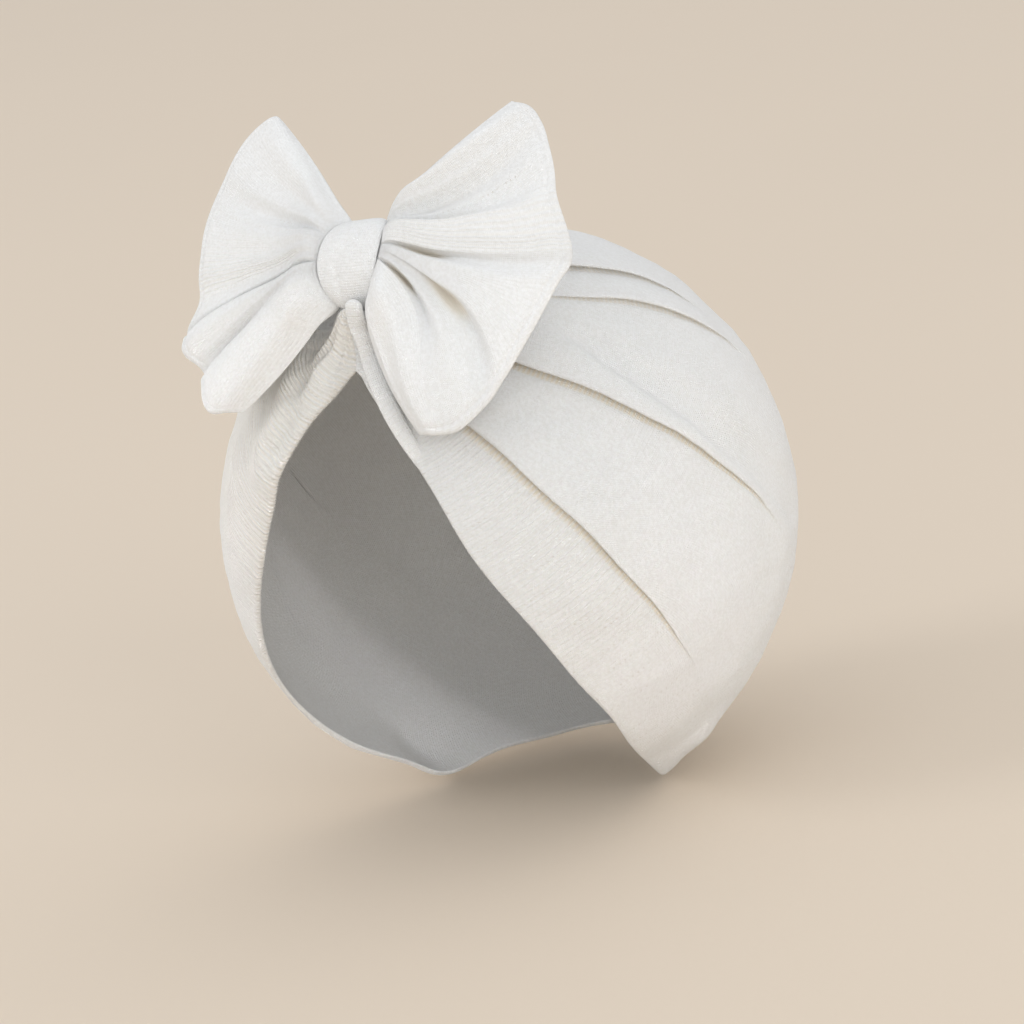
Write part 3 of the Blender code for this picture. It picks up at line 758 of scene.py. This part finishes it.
def build_crown():
    """A closed shell, its lining half as fine as its outside, and the closed strip of the band's end."""
    outside, inside, uv, marks, away = crown_skins()
    poles = np.array([skin[row].mean(0) for skin in (outside, inside) for row in (0, -1)])
    inside = inside[::2, ::2]
    first_inside = outside.size // 3
    first_pole = first_inside + inside.size // 3
    closed = (away <= OPENING[0][0]) | (away >= OPENING[-1][0])
    outer = close_rows(grid_numbers(outside), closed)
    inner = close_rows(grid_numbers(inside, first_inside), closed[::2])
    points = np.concatenate([outside.reshape(-1, 3), inside.reshape(-1, 3), poles])
    faces = grid_faces(outer) + flipped(grid_faces(inner))
    faces += flipped(pole_faces(outer[0], first_pole)) + pole_faces(outer[-1], first_pole + 1)
    faces += pole_faces(inner[0], first_pole + 2) + flipped(pole_faces(inner[-1], first_pole + 3))
    faces += rim_faces(outer, inner, closed)
    bottom = (0.0, math.pi * INSIDE_RADIUS * 1000.0)
    uvs = np.concatenate([uv.reshape(-1, 2), uv[::2, ::2].reshape(-1, 2), [(0.0, 0.0), bottom] * 2])
    lining = np.zeros(len(points) - first_inside)
    end_points, end_faces, end_uvs = build_band_end()
    faces += [[v + len(points) for v in face] for face in end_faces]
    points, uvs = np.concatenate([points, end_points]), np.concatenate([uvs, end_uvs])
    for name, values in marks.items():
        on_end = np.full(len(end_points), BAND_END_RIBS if name == "ridge" else 0.0)
        marks[name] = np.concatenate([values.ravel(), lining, on_end])
    return make_piece("crown_cloth", points, faces, uvs, marks)


def build_band_end():
    """Points, faces and UVs of the closed flat strip that the wearer's left band ends in."""
    step = np.linspace(0.0, len(BAND_END) - 1.0, BAND_END_STEPS)
    axes = np.stack(bow_axes())
    path = np.stack([read_curve(BAND_END, step, k) for k in (1, 2, 3)], -1) @ axes + waist_centre()
    ahead = unit(np.gradient(path, axis=0))
    over_wrap = smooth((3.0 - step) / 2.0)[:, None]
    out = unit(path) * (1.0 - over_wrap) + np.array(WRAP_FACING) @ axes * over_wrap
    side = unit(np.cross(ahead, out))
    out = unit(np.cross(side, ahead))
    length = np.concatenate([[0.0], np.cumsum(np.linalg.norm(np.diff(path, axis=0), axis=1))])
    to_end = np.minimum(length, length[-1] - length) / BAND_END_TIP
    tip = np.sqrt(1.0 - np.clip(1.0 - to_end, 0.0, 0.97) ** 2)
    relief, pitch = BAND_END_WAVE
    ribs = 1.0 + relief * np.sin(length * 2.0 * math.pi / pitch)
    half_width = read_curve(BAND_END, step, 4) * tip
    half_depth = read_curve(BAND_END, step, 5) * tip * ribs
    angle = 2.0 * math.pi * np.arange(BAND_END_SIDES) / BAND_END_SIDES
    across, above = (np.sign(f) * np.abs(f) ** BAND_END_POWER for f in (np.cos(angle), np.sin(angle)))
    ring = (path[:, None] + side[:, None] * (half_width[:, None] * across)[..., None]
            + out[:, None] * (half_depth[:, None] * above)[..., None])
    index = grid_numbers(ring)
    index = np.concatenate([index, index[:, :1]], 1)
    faces = grid_faces(index) + [index[0, :-1].tolist()[::-1], index[-1, :-1].tolist()]
    u = np.broadcast_to(length[:, None], ring.shape[:2]) * 1000.0
    v = across * half_width[:, None] * 1000.0
    return ring.reshape(-1, 3) + HEAD_CENTRE, faces, np.stack([u, v], -1).reshape(-1, 2)


# Bow

def waist_half(axis):
    return (KNOT_HALF_HEIGHT, KNOT_HALF_DEPTH)[axis] - KNOT_WALL - GAP - 0.0001


def knot_half_width(angle):
    fuller = KNOT_FRONT_HALF_WIDTH - KNOT_SIDE_HALF_WIDTH
    power = np.where(angle > 0.0, 0.6, 1.2)
    return KNOT_SIDE_HALF_WIDTH + fuller * np.maximum(np.cos(angle), 0.0) ** power


def wing_outline(across, along, edge, bulge):
    angle = np.arcsin(np.clip(across, -1.0, 1.0))
    waist = np.stack([knot_half_width(angle) - WAIST_TUCK, waist_half(0) * across + KNOT_RAISE], -1)
    outer = np.zeros(across.shape + (2,))
    for shift in EDGE_BLUR:
        place = np.clip(across + shift * np.sqrt(np.maximum(1.0 - np.abs(across), 0.0)), -1.0, 1.0)
        outer += np.stack([read_curve(edge, place, 1), read_curve(edge, place, 2)], -1) / len(EDGE_BLUR)
    run = outer - waist
    sign = np.where(across > 0, 1.0, -1.0)
    away = unit(np.stack([-run[..., 1] * sign, run[..., 0] * sign], -1))
    swell = np.where(across > 0, bulge[0], bulge[1]) * np.abs(across) ** 3 * 4.0 * along * (1.0 - along)
    return waist + run * along[..., None] + away * swell[..., None]


def crown_floor(point):
    _, up, out = bow_axes()
    centre = waist_centre()
    radius = INSIDE_RADIUS + WALL + WING_CLEARANCE
    outwards = centre @ out
    level = centre @ centre + (point ** 2).sum(-1) + 2.0 * point[..., 1] * (centre @ up) - radius ** 2
    return np.sqrt(np.maximum(outwards ** 2 - level, 0.0)) - outwards


def wing_lanes(folds):
    """Lane numbers: even steps from fold line to fold line, closer together at the side edges."""
    last = len(folds) - 1
    side = np.array([0.0, 0.01, 0.04, 0.09, 0.16, 0.25, 0.36, 0.5, 0.66, 0.83])
    return np.concatenate([side, np.linspace(1.0, last - 1.0, WING_LANES), last - side[::-1]])


def through(values, along):
    """A smooth curve through the values at FOLD_PLACES."""
    places = np.array(FOLD_PLACES)
    last = len(places) - 1
    slopes = []
    for i in range(last + 1):
        low, high = max(i - 1, 0), min(i + 1, last)
        slopes.append((values[high] - values[low]) / (places[high] - places[low]))
    result = np.zeros(np.broadcast(values[0], along).shape)
    for i in range(last):
        span = places[i + 1] - places[i]
        t = (along - places[i]) / span
        curve = cubic(values[i], values[i + 1], slopes[i], slopes[i + 1], span, t)
        inside = (along >= places[i]) & ((along < places[i + 1]) | (i == last - 1))
        result = np.where(inside, curve, result)
    return result


def lane_values(folds, lane, along):
    """Place across, and height, of each lane at each step along."""
    table = np.array(folds)
    i = np.minimum(lane.astype(int), len(folds) - 2)
    t = (lane - i)[None, :]
    along = along[:, None]
    here, after = table[i].T[:, None, :], table[i + 1].T[:, None, :]
    place = through(here[:4], along) * (1.0 - t) + through(after[:4], along) * t
    low, high = through(here[4:], along), through(after[4:], along)
    return place, low + (high - low) * smooth(t)


def dents_of(dents, lane, along):
    """Depth of the pockets that open only part of the way along a fold."""
    total = np.zeros(along.shape)
    for row, place, rows, length, depth in dents:
        total += depth * bell(lane - row, rows) * bell(along - place, length)
    return total


def wing_marks(lane, along, fold, dent, ribs, laces):
    # painted shade in the wings' dents and hollows
    shade = DENT_SHADE * smooth(dent / DENT_DEPTH) + HOLLOW_SHADE * ramp(-fold, HOLLOW_DEPTH)
    return {
        "pocket_shade": np.minimum(shade, 1.0),
        "lace": WING_HOLES * bell(lane - laces, HOLES_SPREAD) * smooth((along - MARKS_FADE) / MARKS_FADE),
        "ridge": WING_RIBS * bell(lane - ribs[0], ribs[1]) * smooth(along / MARKS_FADE),
    }


def wing_skins(edge, folds, dents, bulge, ribs, laces, seed):
    """Front and back of a wing over its plane, with the UVs and marks."""
    along = np.arange(WING_STEPS + 1) / WING_STEPS
    along = np.sin(0.5 * math.pi * along) * 0.5 + 0.5 * along
    lane = wing_lanes(folds)
    across, fold = lane_values(folds, lane, along)
    along, lane = np.broadcast_to(along[:, None], across.shape), np.broadcast_to(lane, across.shape)
    dent = dents_of(dents, lane, along)
    fold = fold - dent
    point = wing_outline(across, along, edge, bulge)
    droop = WING_DROOP * np.minimum(point[..., 1], 0.0) ** 2
    middle = WING_RISE - WING_SWEEP * point[..., 0] - droop + fold
    fullness = np.sqrt(np.maximum(1.0 - np.abs(across) ** 6, 0.0) * np.maximum(1.0 - along ** 12, 0.0))
    half = 0.5 * WING_THICKNESS * fullness
    round_half = waist_half(1) * np.sqrt(np.maximum(1.0 - across * across, 0.0))
    beyond = np.maximum(along - WAIST_START, 0.0) / (1.0 - WAIST_START)
    flat = smooth(beyond / WAIST_BLEND)
    middle = np.maximum(middle, crown_floor(point) + half)
    front = round_half + (middle + half - round_half) * flat
    back = -round_half + (middle - half + round_half) * flat
    place = np.concatenate([point, np.zeros_like(point[..., :1])], -1)
    inset, width, depth = EDGE_SEAM
    relief = unevenness(place, WING_WAVES, seed)
    relief -= depth * bell((1.0 - along) * EDGE_RUN - inset, width)
    crest = ramp(fold, CREST)
    rise, fall = PUFF_SPREAD
    puff = PUFF * np.where(beyond < rise, bell(beyond - rise, rise), bell(beyond - rise, fall))
    in_hollow = PUFF_IN_HOLLOW + (1.0 - PUFF_IN_HOLLOW) * crest
    puff *= in_hollow * smooth(beyond / 0.02) * fullness
    front = front + relief * fullness * flat + puff
    uv = np.stack([lane / (len(folds) - 1) * WING_KNIT[0], along * WING_KNIT[1]], -1)
    return point, front, back, uv, wing_marks(lane, along, fold, dent, ribs, laces)


def build_bow():
    """Both wings and the waist between them, one closed doubled cloth."""
    points, uvs, faces, first, starts = [], [], [], 0, []
    marks = {"pocket_shade": [], "lace": [], "ridge": []}
    for side, wing in (
            (1.0, (LEFT_EDGE, LEFT_FOLDS, LEFT_DENTS, LEFT_BULGE, LEFT_RIBS, LEFT_LACE, 11)),
            (-1.0, (RIGHT_EDGE, RIGHT_FOLDS, (), RIGHT_BULGE, RIGHT_RIBS, RIGHT_LACE, 23))):
        point, front, back, uv, own_marks = wing_skins(*wing)
        for skin in (front, back):
            points.append(np.concatenate([point * (side, 1.0), skin[..., None]], -1).reshape(-1, 3))
            uvs.append((uv + (0.0, 200.0 * side)).reshape(-1, 2))
            for mark, values in own_marks.items():
                marks[mark].append(values.ravel() * (1.0 if skin is front else 0.0))
        top = grid_numbers(front, first)
        under = top + top.size
        under[:, 0], under[:, -1] = top[:, 0], top[:, -1]
        under[-1] = top[-1]
        front_faces, back_faces = grid_faces(top), grid_faces(under)
        faces += flipped(front_faces) if side > 0 else front_faces
        faces += back_faces if side > 0 else flipped(back_faces)
        starts.append((top[0], under[0]))
        first += 2 * top.size
    (left_top, left_under), (right_top, right_under) = starts
    faces += grid_faces(np.stack([left_top, right_top]))
    faces += flipped(grid_faces(np.stack([left_under, right_under])))
    marks = {mark: np.concatenate(values) for mark, values in marks.items()}
    return make_piece("bow_cloth", np.concatenate(points), faces, np.concatenate(uvs), marks, on_bow=True)


# Wrap round the waist

def build_wrap():
    """The strip round the waist: full along its middle, rolled at its edges, with soft creases."""
    angle = 2.0 * math.pi * np.arange(WRAP_SECTIONS) / WRAP_SECTIONS - math.pi
    t = np.sin(0.5 * math.pi * np.linspace(-1.0, 1.0, WRAP_COLUMNS))
    angle, across = np.meshgrid(angle, t, indexing="ij")
    width = knot_half_width(angle)
    power, lost = WRAP_EDGE
    bulge = np.sqrt(np.maximum(1.0 - np.abs(across) ** power, 0.0))
    place, waver, spread, depth = WRAP_CREASE
    crease_line = bell(across + place + waver * np.sin(angle), spread) * smooth(0.2 - 1.2 * np.sin(angle))
    crease_line *= np.maximum(np.cos(angle), 0.0) ** 0.5
    soft = waves(np.stack([across * 0.01, angle * 0.006, np.zeros_like(angle)], -1), 0.009, 31)
    inset = KNOT_WALL * (lost * (1.0 - bulge)) + depth * crease_line - WRAP_RELIEF * soft
    outer = np.stack([across * width, (KNOT_HALF_HEIGHT - inset) * np.sin(angle) + KNOT_RAISE,
                      (KNOT_HALF_DEPTH - inset) * np.cos(angle)], -1)
    inner = np.stack([across * width * 0.95, (KNOT_HALF_HEIGHT - KNOT_WALL) * np.sin(angle) + KNOT_RAISE,
                      (KNOT_HALF_DEPTH - KNOT_WALL) * np.cos(angle)], -1)[:, ::-1]
    ring = np.concatenate([outer, inner], 1)
    index = grid_numbers(ring)
    index = np.concatenate([index, index[:1]], 0)
    index = np.concatenate([index, index[:, :1]], 1)
    uv = np.stack([angle * 10.0, across * width * 1000.0], -1)
    uv = np.concatenate([uv, uv[:, ::-1]], 1)
    points, uvs = ring.reshape(-1, 3), uv.reshape(-1, 2)
    return make_piece("wrap_cloth", points, grid_faces(index), uvs, {}, on_bow=True)


# Meshes and materials

def add_object(name, data):
    item = bpy.data.objects.new(name, data)
    bpy.context.scene.collection.objects.link(item)
    return item


def make_piece(name, points, faces, uvs, marks, on_bow=False):
    if on_bow:
        points = points @ np.stack(bow_axes()) + waist_centre() + HEAD_CENTRE
    data = bpy.data.meshes.new(name)
    data.from_pydata(points.tolist(), [], faces)
    data.validate()
    corner = np.zeros(len(data.loops), np.int32)
    data.loops.foreach_get("vertex_index", corner)
    layer = data.uv_layers.new(name="knit")
    layer.data.foreach_set("uv", uvs[corner].astype(np.float32).ravel())
    for mark in MARKS:
        values = data.attributes.new(mark, "FLOAT", "POINT")
        values.data.foreach_set("value", np.asarray(marks.get(mark, np.zeros(len(points))), np.float32))
    drop_loose(data)
    if signed_volume(data) < 0.0:
        data.flip_normals()
    data.shade_smooth()
    return add_object(name, data)


def drop_loose(data):
    mesh = bmesh.new()
    mesh.from_mesh(data)
    loose = [v for v in mesh.verts if not v.link_faces]
    bmesh.ops.delete(mesh, geom=loose, context="VERTS")
    mesh.to_mesh(data)
    mesh.free()


def signed_volume(data):
    data.calc_loop_triangles()
    points = np.zeros(len(data.vertices) * 3, np.float32)
    data.vertices.foreach_get("co", points)
    corners = np.zeros(len(data.loop_triangles) * 3, np.int32)
    data.loop_triangles.foreach_get("vertices", corners)
    a, b, c = points.reshape(-1, 3)[corners.reshape(-1, 3)].astype(float).transpose(1, 0, 2)
    return float((a * np.cross(b, c)).sum()) / 6.0


class Nodes:
    """A new material, with a few short calls for building its node tree."""

    def __init__(self, name):
        self.material = bpy.data.materials.new(name)
        self.material.use_nodes = True
        self.tree = self.material.node_tree
        self.place = self.make("ShaderNodeTexCoord").outputs["Object"]

    def make(self, kind, inputs=None, **settings):
        """A node with these settings, and with these inputs by name or number."""
        node = self.tree.nodes.new(kind)
        for name, value in settings.items():
            setattr(node, name, value)
        for name, value in (inputs or {}).items():
            self.feed(node.inputs[name], value)
        return node

    def feed(self, socket, value):
        if isinstance(value, (int, float, tuple)):
            socket.default_value = value
        else:
            self.tree.links.new(value, socket)

    def surface(self, values):
        for name, value in values.items():
            self.feed(self.tree.nodes["Principled BSDF"].inputs[name], value)

    def math(self, operation, a, b=0.0):
        return self.make("ShaderNodeMath", {0: a, 1: b}, operation=operation).outputs[0]

    def plus(self, a, b):
        return self.math("ADD", a, b)

    def minus(self, a, b):
        return self.math("SUBTRACT", a, b)

    def times(self, a, b):
        return self.math("MULTIPLY", a, b)

    def noise(self, vector, scale, detail=2.0):
        inputs = {"Vector": vector, "Scale": scale, "Detail": detail}
        return self.make("ShaderNodeTexNoise", inputs).outputs["Fac"]

    def wave(self, value, pitch):
        return self.math("SINE", self.times(value, 2.0 * math.pi / pitch))

    def mark(self, name):
        """One of MARKS, as make_piece kept it at each vertex."""
        return self.make("ShaderNodeAttribute", attribute_name=name).outputs["Fac"]

    def mix(self, factor, a, b):
        inputs = {"Factor": factor, "A": a, "B": b}
        return self.make("ShaderNodeMix", inputs, data_type="RGBA").outputs["Result"]

    def step(self, value, low, high):
        """0 below low and 1 above high, smooth between them."""
        inputs = {"Value": value, "From Min": low, "From Max": high}
        return self.make("ShaderNodeMapRange", inputs, interpolation_type="SMOOTHSTEP").outputs["Result"]


def wandering(nodes, uv, wale, course):
    """The UV map in millimetres, with the stitches' columns and rows not quite even."""
    split = nodes.make("ShaderNodeSeparateXYZ", {0: uv})
    drift = nodes.minus(nodes.noise(uv, 0.22), 0.5)
    u = nodes.plus(split.outputs["X"], nodes.times(drift, 0.6 * wale))
    v = nodes.plus(split.outputs["Y"], nodes.times(drift, 0.8 * course))
    return u, v


def stitches(nodes, u, v, wale, course):
    """Near 1 on the yarn and lower between the loops, in columns of Vs."""
    column = nodes.math("FRACT", nodes.math("DIVIDE", u, wale))
    side = nodes.times(nodes.math("ABSOLUTE", nodes.minus(column, 0.5)), 2.0)
    loop = nodes.plus(nodes.math("DIVIDE", v, course), nodes.times(side, 0.5))
    loop = nodes.plus(nodes.times(nodes.wave(loop, 1.0), 0.30), 0.70)
    arch = nodes.times(nodes.math("POWER", side, 2.0), 0.72)
    return nodes.times(nodes.minus(1.0, arch), loop)


def small_holes(nodes, uv, u, v):
    """1 in the holes of the laced rows, which come and go."""
    squares = []
    for value, pitch in ((u, LACE_ROW), (v, LACE_STEP)):
        part = nodes.minus(nodes.math("FRACT", nodes.math("DIVIDE", value, pitch)), 0.5)
        squares.append(nodes.math("POWER", nodes.times(part, pitch), 2.0))
    far = nodes.math("SQRT", nodes.plus(*squares))
    hole = nodes.minus(1.0, nodes.step(far, *HOLE_EDGE))
    patchy = nodes.step(nodes.noise(uv, 0.13), *HOLE_PATCHES)
    return nodes.times(nodes.times(hole, patchy), nodes.mark("lace"))


def knit_colour(nodes, stitch, fuzz, ridge, rib, hole):
    cream = nodes.mix(nodes.noise(nodes.place, 60.0), *KNIT_TONES)
    # painted shade between the loops and in the yarn's low spots
    between = nodes.times(nodes.minus(1.0, stitch), STITCH_SHADE)
    thin_shade = nodes.times(nodes.step(fuzz, 0.66, 0.34), FUZZ_SHADE)
    colour = nodes.mix(nodes.plus(between, thin_shade), cream, BETWEEN_SHADE_TONE)
    # painted shade in the troughs between the ribs
    trough_shade = nodes.times(nodes.minus(ridge, rib), RIB_SHADE)
    colour = nodes.mix(trough_shade, colour, POCKET_SHADE_TONE)
    # painted shade in the small holes
    colour = nodes.mix(nodes.times(hole, HOLE_SHADE), colour, HOLE_SHADE_TONE)
    # painted shade in the folds' pockets and under the bow, broken by the threads that cross a groove
    bars = nodes.wave(nodes.mark("down"), BAR_PITCH)
    bars = nodes.plus(0.68, nodes.times(bars, 0.30))
    return nodes.mix(nodes.times(nodes.mark("pocket_shade"), bars), colour, POCKET_SHADE_TONE)


def knit(name, wale, course, bump):
    """Fine jersey: columns of V stitches, uneven yarn, small holes where the piece is laced, and painted
    shade.

    wale and course are the stitch's width and height, in millimetres of the UV map.
    """
    nodes = Nodes(name)
    uv = nodes.make("ShaderNodeUVMap", uv_map="knit").outputs["UV"]
    u, v = wandering(nodes, uv, wale, course)
    stitch = stitches(nodes, u, v, wale, course)
    fuzz = nodes.noise(nodes.place, 1200.0, 4.0)
    ridge = nodes.mark("ridge")
    rib = nodes.times(nodes.wave(u, RIB_PITCH), ridge)
    hole = small_holes(nodes, uv, u, v)
    height = nodes.times(stitch, STITCH_RELIEF)
    height = nodes.plus(height, nodes.times(fuzz, FUZZ_RELIEF))
    height = nodes.plus(height, nodes.times(rib, RIB_RELIEF))
    height = nodes.minus(height, nodes.times(hole, HOLE_RELIEF))
    relief = nodes.make("ShaderNodeBump", {"Strength": bump, "Distance": RELIEF, "Height": height})
    colour = knit_colour(nodes, stitch, fuzz, ridge, rib, hole)
    nodes.surface({"Base Color": colour, "Normal": relief.outputs["Normal"], **KNIT_SURFACE})
    return nodes.material


def add_stage():
    data = bpy.data.meshes.new("floor")
    level = cad_low.z - FLOOR_GAP
    corners = ((-1, -1), (1, -1), (1, 1), (-1, 1))
    data.from_pydata([(FLOOR_HALF * x, FLOOR_HALF * y, level) for x, y in corners], [], [(0, 1, 2, 3)])
    nodes = Nodes("floor_paint")
    tint = nodes.mix(nodes.noise(nodes.place, 3.0), *FLOOR_TONES)
    nodes.surface({"Base Color": tint, "Roughness": 0.9})
    data.materials.append(nodes.material)
    floor = add_object("floor", data)


def add_camera():
    """The photograph's view: 33.5 degrees to the wearer's left, 12.6 degrees up, tilted 10.6 degrees."""
    data = bpy.data.cameras.new("camera")
    data.sensor_width = SENSOR
    data.lens = SENSOR * FOCAL / FRAME
    data.shift_x, data.shift_y = SHIFT[0] / FRAME, SHIFT[1] / FRAME
    data.clip_start, data.clip_end = 0.01, 50.0
    yaw, roll, rise = math.radians(HAT_YAW), math.radians(HAT_ROLL), math.radians(CAMERA_RISE)
    front = np.array((math.sin(yaw), -math.cos(yaw), 0.0))
    side = np.array((math.cos(yaw), math.sin(yaw), 0.0))
    up = np.array((0.0, 0.0, 1.0))
    cos_roll, sin_roll = math.cos(roll), math.sin(roll)
    hat = np.stack([side * cos_roll + up * sin_roll, -front, up * cos_roll - side * sin_roll])
    back = np.array((0.0, -math.cos(rise), math.sin(rise)))
    right = np.array((1.0, 0.0, 0.0))
    above = np.cross(right, -back)
    place = hat @ back * CAMERA_DISTANCE + HEAD_CENTRE
    matrix = Matrix([list(row) for row in zip(hat @ right, hat @ above, hat @ back)]).to_4x4()
    matrix.translation = Vector(place)
    camera = add_object("camera", data)
    camera.matrix_world = matrix
    bpy.context.scene.camera = camera


def add_light(name, place, target, size, power, colour, spread):
    data = bpy.data.lights.new(name, "AREA")
    data.shape = "DISK"
    data.size = size
    data.spread = math.radians(spread)
    data.energy = power
    data.color = colour
    light = add_object(name, data)
    light.location = place
    light.rotation_euler = (Vector(target) - Vector(place)).to_track_quat("-Z", "Y").to_euler()


def add_world():
    world = bpy.data.worlds.new("studio")
    world.use_nodes = True
    background = world.node_tree.nodes["Background"]
    background.inputs["Color"].default_value = WORLD_COLOUR
    background.inputs["Strength"].default_value = WORLD_STRENGTH
    bpy.context.scene.world = world
    bpy.context.scene.view_settings.view_transform = "Standard"


def dress(piece, node, material):
    piece.data.materials.append(material)
    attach(piece, "root")
    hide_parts(node)


crown = build_crown()
bow = build_bow()
wrap = build_wrap()
dress(crown, "crown", knit("crown_jersey", 0.62, 0.55, 0.8))
dress(bow, "bow", knit("bow_jersey", 0.6, 0.55, 0.65))
dress(wrap, "knot_wrap", knit("wrap_jersey", 0.67, 0.6, 0.8))

add_camera()
add_world()
for light in LIGHTS:
    add_light(*light)
add_stage()
